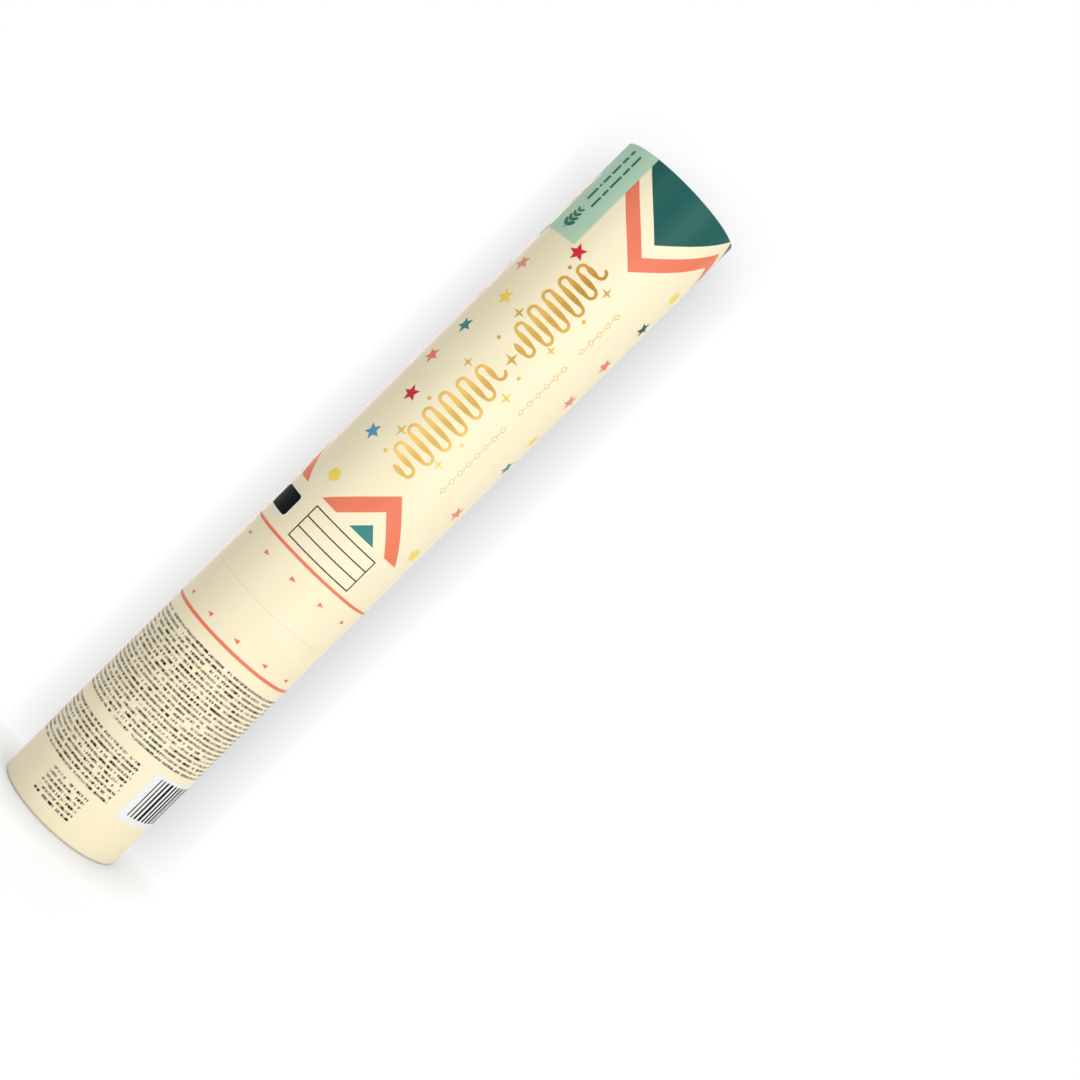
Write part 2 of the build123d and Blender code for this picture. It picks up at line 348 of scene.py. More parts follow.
def makeCard(name):
    size = windCard
    finish, thread = startFinish(name)
    place = objectPlace(thread)
    x = thread.node("SeparateXYZ", values={0: place})
    y, z = x.other("Y"), x.other("Z")
    radius = thread.sums("SQRT", x * x + y * y) / metresPerMm
    ply = thread.sums("FRACT", radius / size["ply"])
    turn = thread.sums("ARCTAN2", y, x) / (2 * math.pi)
    spiral = thread.sums("FRACT", z / metresPerMm / size["spiralPitch"] + turn)
    edge = (ply > size["plyEdge"]) * size["edgeShare"] + (spiral > size["spiralEdge"]) * size["edgeShare"]
    fibre = speckle(thread, place, *size["fibre"])
    tint = fibre * size["fibreTint"] + edge * size["edgeTint"]
    closeFinish(thread, {
        "Base Color": thread.mix(tint, size["light"], size["dark"]),
        "Roughness": size["rough"] + fibre * size["roughShare"],
        "Normal": bump(thread, fibre - edge * size["edgeDrop"], *size["relief"]),
    })
    return finish


# Turned or drawn metal: fine lines round the axis or along it
drawnMetal = {
    "lines": (400.0, 4.0, 0.6),
    "lineTint": 0.4,
    "stain": (60.0, 2.0),
    "stainTint": 0.3,
    "shadow": 0.78,
    "roughShare": 0.18,
    "relief": (0.08, 0.0002),
}


def makeMetal(name, colour, stretch, rough):
    size = drawnMetal
    finish, thread = startFinish(name)
    place = objectPlace(thread)
    drawn = thread.node("VectorMath", {"operation": "MULTIPLY"}, {0: place, 1: stretch})
    lines = speckle(thread, drawn, *size["lines"])
    stain = speckle(thread, place, *size["stain"])
    tint = lines * size["lineTint"] + stain * size["stainTint"]
    closeFinish(thread, {
        "Base Color": thread.mix(tint, colour, shade(colour, size["shadow"])),
        "Metallic": 1.0,
        "Roughness": rough + lines * size["roughShare"],
        "Normal": bump(thread, lines, *size["relief"]),
    })
    return finish


# Tissue: crepe lines and thin fibres over a soft colour, with painted shade along the crepe lines
tissuePaper = {
    "fibre": (1300.0, 5.0, 0.7),
    "fibreTint": 0.5,
    "fibreRelief": 0.4,
    "creaseScale": 260.0,
    "creaseFade": 6.0,
    "creaseShade": 0.35,
    "shadow": 0.80,
    "rough": 0.86,
    "sheen": 0.15,
    "relief": (0.30, 0.0003),
}


def makeTissue(name, colour):
    size = tissuePaper
    finish, thread = startFinish(name)
    place = objectPlace(thread)
    fibre = speckle(thread, place, *size["fibre"])
    crease = thread.node(
        "TexVoronoi", {"feature": "DISTANCE_TO_EDGE"}, {"Vector": place, "Scale": size["creaseScale"]}
    )
    fold = thread.node("Clamp", values={0: crease * size["creaseFade"]})
    # Painted shade darkens the colour along the crepe lines, and the fibres vary the tone at random
    tint = fibre * size["fibreTint"] + (1.0 - fold) * size["creaseShade"]
    closeFinish(thread, {
        "Base Color": thread.mix(tint, colour, shade(colour, size["shadow"])),
        "Roughness": size["rough"],
        "Sheen Weight": size["sheen"],
        "Normal": bump(thread, fibre * size["fibreRelief"] + fold, *size["relief"]),
    })
    return finish


tissueChart = {
    "red": chart(196, 22, 44),
    "yellow": chart(240, 222, 70),
    "sky": chart(166, 200, 226),
    "orange": chart(240, 142, 36),
    "green": chart(28, 146, 66),
    "pink": chart(244, 206, 196),
    "mint": chart(200, 232, 222),
    "peach": chart(244, 188, 156),
    "white": chart(244, 240, 230),
}

barrelPaper = makeGrained("barrelPaper", "printedPaper", **creamPaper)
gripPaper = makeGrained("gripPaper", "printedPaper", cover=layPrint, **creamPaper)
inks = {
    name: makeGrained(name + "Ink", "mattInk" if name in mattInks else "ink", colour, rough=0.38)
    for name, colour in inkChart.items()
}
goldFoil = makeFoil("goldFoil", foil["deep"], foil["bright"])
paleFoil = makeFoil("paleFoil", foil["bright"], foil["pale"])
mintPaper = makeGrained("mintPaper", "plainPaper", chart(190, 226, 197), rough=0.55)
capPaper = makeGrained("capPaper", "plainPaper", chart(246, 236, 208), rough=0.66)
woundCard = makeCard("woundCard")
whitePlastic = makeGrained("whitePlastic", "plastic", chart(240, 236, 224), rough=0.42)
greyPlastic = makeGrained("greyPlastic", "plastic", chart(120, 124, 128), rough=0.46)
bottleMetal = makeMetal("bottleAluminium", chart(206, 208, 210), stretch=(1.0, 1.0, 0.06), rough=0.26)
pinMetal = makeMetal("pinSteel", chart(176, 178, 182), stretch=(0.15, 0.15, 3.0), rough=0.24)
springMetal = makeMetal("springWire", chart(160, 162, 166), stretch=(0.4, 0.4, 2.0), rough=0.28)
sealRubber = makeGrained("sealRubber", "rubber", chart(34, 34, 35), chart(50, 49, 48), rough=0.62)
wadFelt = makeGrained("wadFelt", "felt", chart(212, 206, 192), chart(166, 158, 142), rough=0.95)
tissues = {name: makeTissue("tissue" + name.title(), colour) for name, colour in tissueChart.items()}
print("finishes mixed:", len(bpy.data.materials))


# A finished piece sits at the origin, with its place in its mesh
def finishPiece(name, bm, finish, body, slot=None, replaced=()):
    bmesh.ops.scale(bm, vec=(metresPerMm, metresPerMm, metresPerMm), verts=bm.verts)
    mesh = bpy.data.meshes.new(name)
    bm.to_mesh(mesh)
    bm.free()
    mesh.materials.append(finish)
    piece = bpy.data.objects.new(name, mesh)
    scene.collection.objects.link(piece)
    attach(piece, body)
    if replaced:
        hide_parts(*replaced)
    return piece


def soften(bm, limit=35.0):
    for face in bm.faces:
        face.smooth = True
    for edge in bm.edges:
        edge.smooth = edge.calc_face_angle(0.0) < math.radians(limit)


def everything(bm):
    return bm.verts[:] + bm.edges[:] + bm.faces[:]


# Flat print is drawn with x round the tube and y up it, then rolled on and given its film
tubeFilm = {
    "arcRadius": 25.0,
    "strip": 1.0,
    "cutReach": 0.0001,
    "inkRadius": 24.995,
    "thickness": 0.022,
    "cornerSteps": 5,
}


def rollOn(bm, radius, thickness):
    strip = tubeFilm["strip"]
    low = min(v.co.x for v in bm.verts)
    high = max(v.co.x for v in bm.verts)
    for cut in range(math.ceil(low / strip), math.floor(high / strip) + 1):
        bmesh.ops.bisect_plane(
            bm, geom=everything(bm), dist=tubeFilm["cutReach"], plane_co=(cut * strip, 0, 0), plane_no=(1, 0, 0)
        )
    bmesh.ops.recalc_face_normals(bm, faces=bm.faces)
    for face in bm.faces:
        if face.normal.z < 0:
            face.normal_flip()
    for v in bm.verts:
        turn = v.co.x / tubeFilm["arcRadius"]
        v.co = Vector((radius * math.sin(turn), -radius * math.cos(turn), v.co.y))
    bm.normal_update()
    bmesh.ops.solidify(bm, geom=bm.faces[:], thickness=thickness)
    soften(bm)


# The same angle, counted from -180 to 180
def nearAngle(angle):
    return (angle + 180.0) % 360.0 - 180.0


def arcAt(angle):
    return math.radians(angle) * tubeFilm["arcRadius"]


def movedTo(bm, verts, angle, height, turn=0.0):
    bmesh.ops.rotate(bm, verts=verts, cent=(0, 0, 0), matrix=Matrix.Rotation(math.radians(turn), 3, "Z"))
    bmesh.ops.translate(bm, verts=verts, vec=(arcAt(angle), height, 0))


# Points go round a shape, as (x, y) from its own middle
def flatShape(bm, points, angle, height, turn=0.0):
    verts = [bm.verts.new((x, y, 0)) for x, y in points]
    bm.faces.new(verts)
    movedTo(bm, verts, angle, height, turn)


def flatStrip(bm, left, right, low, high, angle=0.0):
    flatShape(bm, [(left, low), (right, low), (right, high), (left, high)], angle, 0)


def flatStar(bm, points, reach, valley, angle, height, turn):
    made = bmesh.ops.create_circle(bm, cap_ends=True, cap_tris=True, segments=2 * points, radius=reach)
    rim = [v for v in made["verts"] if v.co.length > reach / 2]
    rim.sort(key=lambda v: math.atan2(v.co.x, v.co.y))
    tip = max(rim, key=lambda v: v.co.y)
    start = rim.index(tip) + 1
    valleys = [rim[(start + place) % len(rim)] for place in range(0, len(rim), 2)]
    bmesh.ops.scale(bm, vec=(valley, valley, 1), verts=valleys)
    movedTo(bm, made["verts"], angle, height, turn)


def flatDot(bm, radius, sides, angle, height):
    made = bmesh.ops.create_circle(bm, cap_ends=True, segments=sides, radius=radius)
    movedTo(bm, made["verts"], angle, height)


def printFilm(name, bm, finish, body):
    rollOn(bm, tubeFilm["inkRadius"], tubeFilm["thickness"])
    return finishPiece(name, bm, finish, body)


# A line of paper seen in section is spun round the tube and given its thickness
wrapSizes = {
    "radius": 24.95,
    "thickness": 0.22,
    "seam": 102.5,
    "seamGap": 0.05,
    "mouth": 300.0,
    "edgeCenter": 23.45,
    "edgeRadius": 1.5,
    "edgeRise": 1.2,
    "hemLift": 0.1,
    "hemSteps": 6,
    "sides": 240,
    "rows": 12,
    "mergeReach": 0.0005,
    "softAngle": 50.0,
    "lapAngle": 172.0,
    "lapWidth": 9.0,
    "lapRadius": 24.968,
    "lapThickness": 0.015,
}


def spinSkin(bm, sides):
    bmesh.ops.spin(
        bm, geom=everything(bm), cent=(0, 0, 0), axis=(0, 0, 1), angle=2 * math.pi, steps=sides, use_merge=True
    )
    bmesh.ops.remove_doubles(bm, verts=bm.verts, dist=wrapSizes["mergeReach"])
    bmesh.ops.recalc_face_normals(bm, faces=bm.faces)
    outward = sum(f.normal.xy.dot(f.calc_center_median().xy) for f in bm.faces)
    if outward < 0:
        bmesh.ops.reverse_faces(bm, faces=bm.faces)


def makeWraps():
    size = wrapSizes
    low = size["seam"] + size["seamGap"] / 2
    for name, body, cadNode, finish, ends in (
        ("barrelWrap", "barrel", "barrel_wrap", barrelPaper, (low, size["mouth"])),
        ("gripWrap", "grip", "grip_wrap", gripPaper, (size["edgeRise"], low - size["seamGap"])),
    ):
        bm = bmesh.new()
        foot = bm.verts.new((0, -size["radius"], ends[0]))
        if body == "grip":
            hem = math.asin((size["edgeRise"] - size["hemLift"]) / size["edgeRadius"])
            bmesh.ops.spin(
                bm, geom=[foot], cent=(0, -size["edgeCenter"], size["edgeRise"]), axis=(1, 0, 0), angle=hem,
                steps=size["hemSteps"]
            )
        top = bm.verts.new((0, -size["radius"], ends[1]))
        wall = bm.edges.new((foot, top))
        bmesh.ops.subdivide_edges(bm, edges=[wall], cuts=size["rows"])
        spinSkin(bm, size["sides"])
        bmesh.ops.solidify(bm, geom=bm.faces[:], thickness=size["thickness"])
        soften(bm, size["softAngle"])
        finishPiece(name, bm, finish, body, "printed_paper", [cadNode])

        lap = bmesh.new()
        half = size["lapWidth"] / 2
        flatStrip(lap, -half, half, *ends, angle=size["lapAngle"])
        rollOn(lap, size["lapRadius"], size["lapThickness"])
        finishPiece(body + "Lap", lap, finish, body, "printed_paper")


makeWraps()
print("paper wraps rolled")


# Coral print round the barrel: zigzag at the mouth, chevrons over the box, ring and arrowheads at the seam
# Points of the zigzag as (angle, half width), with a narrow one at the back where the paper meets
zigzag = {
    "points": [(-93.1, 55.0), (16.9, 55.0), (126.9, 55.0), (-163.1, 15.0)],
    "halfAngle": 55.0,
    "slope": 0.92,
    "low": 266.0,
    "band": 6.5,
    "green": 278.4,
}
chevron = {"angles": (-93.1, 16.9, 137.0), "outer": 160.6, "inner": 153.2, "foot": 141.5, "tealTop": 147.1}
seamMarks = {
    "upperRing": (121.5, 122.6),
    "lowerRing": (83.6, 84.8),
    "count": 12,
    "upperRow": (115.6, 3.6),
    "lowerRow": (88.2, 5.6),
    "length": 2.3,
    "width": 1.7,
}


def ringBand(bm, ends):
    reach = math.pi * tubeFilm["arcRadius"]
    flatStrip(bm, -reach, reach, *ends)


def arrowRow(bm, row, way):
    height, first = row
    half = seamMarks["width"] / 2
    reach = seamMarks["length"] / 2
    for place in range(seamMarks["count"]):
        angle = nearAngle(first + 360.0 * place / seamMarks["count"])
        flatShape(bm, [(-reach * way, -half), (reach * way, 0), (-reach * way, half)], angle, height)


# One arm of a chevron and its mirror image
def chevronArms(bm, angle, apexOuter, apexInner, reachOuter, reachInner, footOuter, footInner):
    for side in (1, -1):
        points = [(0, apexOuter), (side * reachOuter, footOuter), (side * reachInner, footInner), (0, apexInner)]
        flatShape(bm, points, angle, 0)


def makeBarrelPrint():
    coral = bmesh.new()
    green = bmesh.new()
    teal = bmesh.new()
    mouth = wrapSizes["mouth"]
    for angle, halfAngle in zigzag["points"]:
        reach = arcAt(halfAngle)
        rise = reach * zigzag["slope"]
        raised = arcAt(zigzag["halfAngle"] - halfAngle) * zigzag["slope"]
        low, high = zigzag["low"] + raised, zigzag["low"] + raised + zigzag["band"]
        chevronArms(coral, angle, low, high, reach, reach, low + rise, high + rise)
        greenLow = zigzag["green"] + raised
        half = (mouth - greenLow) / zigzag["slope"]
        flatShape(green, [(0, greenLow), (half, mouth), (-half, mouth)], angle, 0)
    outer = chevron["outer"] - chevron["foot"]
    inner = chevron["inner"] - chevron["foot"]
    half = chevron["tealTop"] - chevron["foot"]
    for angle in chevron["angles"]:
        chevronArms(coral, angle, chevron["outer"], chevron["inner"], outer, inner, chevron["foot"], chevron["foot"])
        flatShape(teal, [(-half, chevron["foot"]), (half, chevron["foot"]), (0, chevron["tealTop"])], angle, 0)
    ringBand(coral, seamMarks["upperRing"])
    arrowRow(coral, seamMarks["upperRow"], 1)
    return {"coral": coral, "green": green, "teal": teal}


# Small stars as (ink, angle, height, turn), and spots as (angle, height)
starPrint = {
    "points": 5,
    "reach": 3.35,
    "valley": 0.45,
    "front": [
        ("red", -21.2, 259.0, -45), ("pink", -55.6, 244.5, -25), ("yellow", -40.2, 232.0, -30),
        ("teal", -50.4, 216.0, -25), ("coral", -53.3, 201.0, -15), ("red", -38.0, 187.0, -45),
        ("blue", -38.3, 169.0, -20), ("green", 72.1, 258.0, -10), ("coral", 70.5, 240.0, -30),
        ("pink", 71.5, 223.0, -20), ("yellow", 76.5, 204.6, -40), ("teal", 78.5, 192.0, -15),
        ("pink", 70.5, 169.0, -25), ("teal", -77.5, 258.5, 10),
    ],
    "backAngles": (108, 140, 171, 203, 236, 268),
    "backInks": ("blue", "yellow", "red", "teal", "coral", "green", "pink"),
    "backHeights": (173.0, 188.0, 203.0, 219.5, 236.0, 252.5),
    "backStagger": 8.0,
    "inkSteps": (3, 2),
    "angleDrift": 7.0,
    "heightDrift": 2.5,
    "turnDrift": 36.0,
    "seed": 11,
    "spotRadius": 2.4,
    "spotSides": 28,
    "spots": [(-34.1, 149.7), (68.5, 148.8), (202.0, 149.4), (72.4, 273.0), (192.0, 273.0), (-48.0, 273.0)],
}


def makeStars(films):
    size = starPrint
    draw = random.Random(size["seed"])
    stars = list(size["front"])
    columnStep, rowStep = size["inkSteps"]
    for column, angle in enumerate(size["backAngles"]):
        for row, height in enumerate(size["backHeights"]):
            ink = size["backInks"][(columnStep * column + rowStep * row) % len(size["backInks"])]
            lift = size["backStagger"] * (column % 2)
            place = angle + draw.uniform(-size["angleDrift"], size["angleDrift"])
            level = height - lift + draw.uniform(-size["heightDrift"], size["heightDrift"])
            stars.append((ink, place, level, draw.uniform(-size["turnDrift"], size["turnDrift"])))
    for ink, angle, height, turn in stars:
        if ink not in films:
            films[ink] = bmesh.new()
        flatStar(films[ink], size["points"], size["reach"], size["valley"], nearAngle(angle), height, turn)
    for angle, height in size["spots"]:
        flatDot(films["yellow"], size["spotRadius"], size["spotSides"], nearAngle(angle), height)


def roundedPatch(bm, halfWidth, halfLength, corner, angle, height):
    made = bmesh.ops.create_grid(bm, x_segments=1, y_segments=1, size=1.0)
    bmesh.ops.scale(bm, vec=(halfWidth, halfLength, 1), verts=made["verts"])
    face = made["verts"][0].link_faces[0]
    bmesh.ops.translate(bm, vec=(arcAt(angle), height, 0), verts=made["verts"])
    bmesh.ops.bevel(
        bm, geom=list(face.verts), offset=corner, segments=tubeFilm["cornerSteps"], profile=0.5, affect="VERTICES",
        material=-1
    )


def roundedFrame(bm, tag):
    width = tag["edge"]
    roundedPatch(bm, tag["width"] / 2 + width, tag["length"] / 2 + width, tag["corner"] + width, tag["angle"],
                 tag["height"])
    outer = max(bm.faces, key=lambda f: f.calc_area())
    bmesh.ops.inset_individual(bm, faces=[outer], thickness=width, use_even_offset=True)
    bmesh.ops.delete(bm, geom=[max(bm.faces, key=lambda f: f.calc_area())], context="FACES")


# Ruled box with three empty rows, and a plain dark tag with a white edge
ruledBox = {"angles": (-25.2, 41.1), "low": 125.0, "high": 138.4, "rows": 3, "line": 0.42}
plainTag = {"angle": -56.0, "height": 132.2, "width": 13.0, "length": 9.0, "edge": 0.6, "corner": 1.4}


def makeBox(black, white):
    size = ruledBox
    left, right = arcAt(size["angles"][0]), arcAt(size["angles"][1])
    half = size["line"] / 2
    pitch = (size["high"] - size["low"]) / size["rows"]
    for line in range(size["rows"] + 1):
        level = size["low"] + pitch * line
        flatStrip(black, left, right, level - half, level + half)
    for line in range(size["rows"]):
        low, high = size["low"] + pitch * line + half, size["low"] + pitch * (line + 1) - half
        for side, way in ((left, 1), (right, -1)):
            flatStrip(black, side, side + way * size["line"], low, high)
    tag = plainTag
    roundedPatch(black, tag["width"] / 2, tag["length"] / 2, tag["corner"], tag["angle"], tag["height"])
    roundedFrame(white, tag)


# Foil streamers: a short edge drawn out in runs and turned back in bends, widest halfway
streamers = {
    "angle": -0.7,
    "lines": [
        {"low": 166.0, "runs": 13, "half": 5.7, "bend": 1.85},
        {"low": 222.5, "runs": 11, "half": 5.4, "bend": 1.75},
    ],
    "swell": 0.55,
    "overrun": 0.6,
    "thick": 2.0,
    "thin": 1.1,
    "fullness": 0.7,
    "startHalf": 0.3,
    "endShare": 0.3,
    "bendSteps": 9,
    "runSteps": 4,
    "sparklePoints": 4,
    "sparkles": [
        (-20.0, 176.0, 2.6), (19.5, 176.5, 2.2), (-21.0, 207.5, 2.2), (2.0, 218.2, 2.9), (20.0, 208.0, 2.4),
        (-20.0, 231.0, 2.4), (18.5, 229.5, 2.0), (17.5, 256.0, 2.3),
    ],
    "sparkleValley": 0.26,
    "dots": [
        (-17.5, 167.5), (21.5, 186.5), (-22.5, 190.0), (16.0, 215.5), (-17.5, 220.5), (20.5, 244.0), (-17.0, 253.5),
    ],
    "dotRadius": 0.7,
    "dotSides": 14,
}


def drawOut(bm, edge, move, width):
    made = bmesh.ops.extrude_edge_only(bm, edges=[edge])["geom"]
    verts = [g for g in made if isinstance(g, bmesh.types.BMVert)]
    move(verts)
    middle = (verts[0].co + verts[1].co) / 2
    share = width / (verts[0].co - verts[1].co).length
    bmesh.ops.scale(bm, vec=(share, share, 1), verts=verts, space=Matrix.Translation(-middle))
    return next(g for g in made if isinstance(g, bmesh.types.BMEdge) and all(v in verts for v in g.verts))


def drawStreamer(bm, line):
    size = streamers

    def reach(place):
        share = (place + size["overrun"]) / (line["runs"] + 2 * size["overrun"])
        return line["half"] * math.sin(math.pi * share) ** size["swell"]

    start = arcAt(size["angle"]) - reach(0)
    half = size["startHalf"] * size["thin"]
    edge = bm.edges.new([bm.verts.new((start, line["low"] + offset, 0)) for offset in (-half, half)])
    way = 1
    for turn in range(line["runs"]):
        run = reach(turn) + reach(turn + 1)
        advance = Vector((way * run / size["runSteps"], 0, 0))
        for step in range(size["runSteps"]):
            swell = math.sin(math.pi * (step + 1) / size["runSteps"]) ** size["fullness"]
            width = size["thin"] + (size["thick"] - size["thin"]) * swell
            edge = drawOut(bm, edge, lambda v: bmesh.ops.translate(bm, verts=v, vec=advance), width)
        centre = (edge.verts[0].co + edge.verts[1].co) / 2 + Vector((0, line["bend"], 0))
        spin = Matrix.Rotation(way * math.pi / size["bendSteps"], 3, "Z")
        for step in range(size["bendSteps"]):
            edge = drawOut(bm, edge, lambda v: bmesh.ops.rotate(bm, verts=v, cent=centre, matrix=spin), size["thin"])
        way = -way
    bmesh.ops.scale(
        bm, vec=(size["endShare"], size["endShare"], 1), verts=edge.verts,
        space=Matrix.Translation(-(edge.verts[0].co + edge.verts[1].co) / 2),
    )


# A fine row of open diamonds with dots between, in paler foil
diamondRow = {
    "angle": 37.3,
    "low": 171.5,
    "groups": (8, 6, 5),
    "pitch": 4.05,
    "space": 4.4,
    "half": (1.15, 1.5),
    "line": 0.3,
    "dotRadius": 0.32,
    "dotSides": 10,
}


def makeFoilPrint():
    gold = bmesh.new()
    for line in streamers["lines"]:
        drawStreamer(gold, line)
    for angle, height, reach in streamers["sparkles"]:
        flatStar(gold, streamers["sparklePoints"], reach, streamers["sparkleValley"], angle, height, 0)
    for angle, height in streamers["dots"]:
        flatDot(gold, streamers["dotRadius"], streamers["dotSides"], angle, height)
    printFilm("foilStreamers", gold, goldFoil, "barrel")

    pale = bmesh.new()
    size = diamondRow
    height = size["low"]
    for count in size["groups"]:
        for place in range(count):
            made = bmesh.ops.create_circle(pale, cap_ends=True, segments=4, radius=1.0)
            bmesh.ops.scale(pale, vec=(size["half"][0], size["half"][1], 1), verts=made["verts"])
            face = made["verts"][0].link_faces[0]
            movedTo(pale, made["verts"], size["angle"], height)
            bmesh.ops.inset_individual(pale, faces=[face], thickness=size["line"], use_even_offset=True)
            bmesh.ops.delete(pale, geom=[face], context="FACES")
            if place + 1 < count:
                flatDot(pale, size["dotRadius"], size["dotSides"], size["angle"], height + size["pitch"] / 2)
            height += size["pitch"]
        height += size["space"]
    printFilm("foilDiamonds", pale, paleFoil, "barrel")


# Print on the grip: its ring, its arrowheads and a white panel of plain bars
barPanel = {
    "angles": (36.4, 122.0),
    "low": 17.5,
    "high": 38.2,
    "barLow": 20.0,
    "barHigh": 36.8,
    "firstBar": 3.4,
    "widths": (0.5, 0.6, 0.9, 1.4, 1.0, 1.2, 1.4, 0.6, 1.2, 0.9, 1.4, 0.6, 1.0, 0.6, 1.4),
    "gap": 1.1,
    "barRadius": 24.998,
    "panelRadius": 24.984,
}


def makeGripPrint():
    coral = bmesh.new()
    ringBand(coral, seamMarks["lowerRing"])
    arrowRow(coral, seamMarks["lowerRow"], -1)
    printFilm("gripCoral", coral, inks["coral"], "grip")

    size = barPanel
    panel = bmesh.new()
    left, right = arcAt(size["angles"][0]), arcAt(size["angles"][1])
    flatStrip(panel, left, right, size["low"], size["high"])
    rollOn(panel, size["panelRadius"], tubeFilm["thickness"] / 2)
    finishPiece("barPanel", panel, inks["white"], "grip")

    bars = bmesh.new()
    side = left + size["firstBar"]
    for width in size["widths"]:
        flatStrip(bars, side, side + width, size["barLow"], size["barHigh"])
        side += width + size["gap"]
    rollOn(bars, size["barRadius"], tubeFilm["thickness"] / 4)
    finishPiece("panelBars", bars, inks["black"], "grip")


films = makeBarrelPrint()
makeStars(films)
films["black"] = bmesh.new()
films["white"] = bmesh.new()
makeBox(films["black"], films["white"])
for ink, bm in films.items():
    printFilm("barrel" + ink.title(), bm, inks[ink], "barrel")
makeFoilPrint()
makeGripPrint()
print("print laid on the tube, with", len(films), "inks on the barrel")


# Mint sticker at the mouth, with a leaf sprig and two plain dashed lines
sticker = {
    "angles": (-71.0, -28.5),
    "low": 260.0,
    "high": 299.95,
    "radius": 25.12,
    "thickness": 0.10,
    "corner": 0.5,
    "inkRadius": 25.142,
    "sprigAngle": -50.0,
    "sprigLow": 262.2,
    "stem": (0.4, 10.2),
    "leaf": (1.75, 3.7),
    "leafSides": 12,
    "leafPairs": 4,
    "firstLeaf": 1.3,
    "leafRise": 2.1,
    "leafLean": 50.0,
    "leafShrink": 0.13,
    "leafTaper": 0.35,
    "leafGap": 0.25,
    "boldRow": (-54.0, 275.0, (5.2, 1.0, 3.4, 4.2, 3.0, 2.2), 0.75),
    "fineRow": (-43.0, 273.4, (4.6, 2.8, 5.4, 3.2, 4.6), 0.55),
    "dashGap": 0.75,
    "dashRound": 0.8,
}


def makeSticker():
    size = sticker
    patch = bmesh.new()
    left, right = arcAt(size["angles"][0]), arcAt(size["angles"][1])
    middle = math.degrees((left + right) / 2 / tubeFilm["arcRadius"])
    roundedPatch(patch, (right - left) / 2, (size["high"] - size["low"]) / 2, size["corner"], middle,
                 (size["high"] + size["low"]) / 2)
    rollOn(patch, size["radius"], size["thickness"])
    finishPiece("mouthSticker", patch, mintPaper, "barrel", "sticker_paper", ["mouth_sticker"])

    ink = bmesh.new()
    width, length = size["stem"]
    stem = [(-width / 2, 0), (width / 2, 0), (width / 4, length), (-width / 4, length)]
    flatShape(ink, stem, size["sprigAngle"], size["sprigLow"])
    for pair in range(size["leafPairs"]):
        shrink = 1.0 - size["leafShrink"] * pair
        level = size["sprigLow"] + size["firstLeaf"] + size["leafRise"] * pair
        leafHalf, leafLength = size["leaf"][0] * shrink, size["leaf"][1] * shrink
        for side in (-1, 1):
            made = bmesh.ops.create_circle(ink, cap_ends=True, segments=size["leafSides"], radius=1.0)
            bmesh.ops.scale(ink, vec=(leafHalf / 2, leafLength / 2, 1), verts=made["verts"])
            for v in made["verts"]:
                v.co.x *= 1 - size["leafTaper"] * v.co.y / leafLength
            bmesh.ops.translate(ink, vec=(0, leafLength / 2 + size["leafGap"], 0), verts=made["verts"])
            movedTo(ink, made["verts"], size["sprigAngle"], level, -side * size["leafLean"])
    for angle, low, lengths, halfWidth in (size["boldRow"], size["fineRow"]):
        for dash in lengths:
            roundedPatch(ink, halfWidth, dash / 2, halfWidth * size["dashRound"], angle, low + dash / 2)
            low += dash + size["dashGap"]
    rollOn(ink, size["inkRadius"], tubeFilm["thickness"] / 2)
    finishPiece("stickerLeaf", ink, inks["leaf"], "barrel")


makeSticker()
print("sticker laid at the mouth")


# Paper cap pressed into the mouth: an embossed disc with a pleated skirt
mouthCap = {
    "sides": 144,
    "profile": [
        (0.02, -0.55), (6.0, -0.55), (6.4, -0.32), (7.0, -0.32), (7.4, -0.55), (18.2, -0.45), (18.7, -0.22),
        (19.4, -0.22), (19.9, -0.42), (21.6, -0.30), (22.2, -0.38), (22.48, -0.75), (22.5, -2.2), (22.5, -3.6),
        (22.5, -5.0),
    ],
    "centreHole": 1.0,
    "thickness": 0.3,
    "pleat": 0.986,
    "pleatBelow": -1.2,
    "pleatPitch": 4,
    "pleatWidth": 2,
    "softAngle": 40.0,
}


def makeMouthCap():
    size = mouthCap
    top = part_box("mouth_seal")[1].z / metresPerMm
    bm = bmesh.new()
    verts = [bm.verts.new((radius, 0, top + drop)) for radius, drop in size["profile"]]
    for first, second in zip(verts, verts[1:]):
        bm.edges.new((first, second))
    spinSkin(bm, size["sides"])
    centre = [e for e in bm.edges if e.is_boundary and e.verts[0].co.xy.length < size["centreHole"]]
    bmesh.ops.holes_fill(bm, edges=centre)
    turnStep = 2 * math.pi / size["sides"]
    pleats = [
        v for v in bm.verts if v.co.z < top + size["pleatBelow"]
        and round(math.atan2(v.co.y, v.co.x) / turnStep) % size["pleatPitch"] < size["pleatWidth"]
    ]
    bmesh.ops.scale(bm, vec=(size["pleat"], size["pleat"], 1), verts=pleats)
    bmesh.ops.recalc_face_normals(bm, faces=bm.faces)
    upward = max(bm.faces, key=lambda f: f.calc_area())
    if upward.normal.z < 0:
        bmesh.ops.reverse_faces(bm, faces=bm.faces)
    bm.normal_update()
    bmesh.ops.solidify(bm, geom=bm.faces[:], thickness=size["thickness"])
    soften(bm, size["softAngle"])
    finishPiece("mouthCap", bm, capPaper, "mouth_seal", "seal_paper", ["mouth_seal"])


# Felt wad with soft rims
feltWad = {"sides": 96, "inset": 0.06, "rim": 1.3, "rimSteps": 5, "rimAngle": 1.0}


